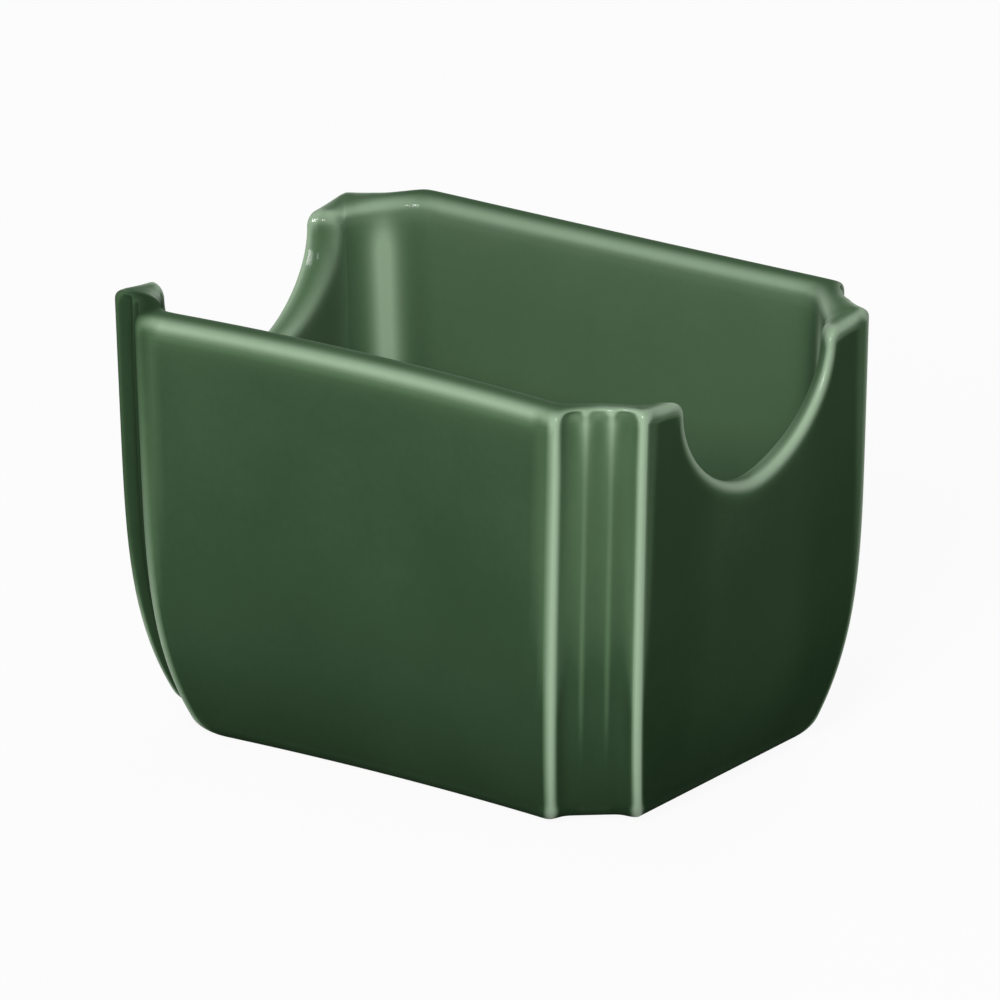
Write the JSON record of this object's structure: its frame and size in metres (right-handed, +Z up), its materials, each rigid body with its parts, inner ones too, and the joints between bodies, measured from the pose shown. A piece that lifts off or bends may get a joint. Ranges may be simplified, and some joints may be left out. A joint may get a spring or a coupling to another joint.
{
  "type": "sugar packet holder",
  "caption": "Oblong open box of green-glazed cast ceramic for sugar packets, with a curved finger notch in each end wall and fluted cut corners.",
  "frame": {"origin": "middle of the foot, on the table", "axes": "+X along the long walls to one notched end, +Y towards one long wall, +Z up out of the open top"},
  "size_m": [0.0978, 0.0744, 0.0691],
  "materials": {
    "bare_china": "matte",
    "green_glaze": "gloss"
  },
  "bodies": {
    "root": {"china_body": "bare_china", "glaze_coat": "green_glaze"}
  },
  "joints": []
}
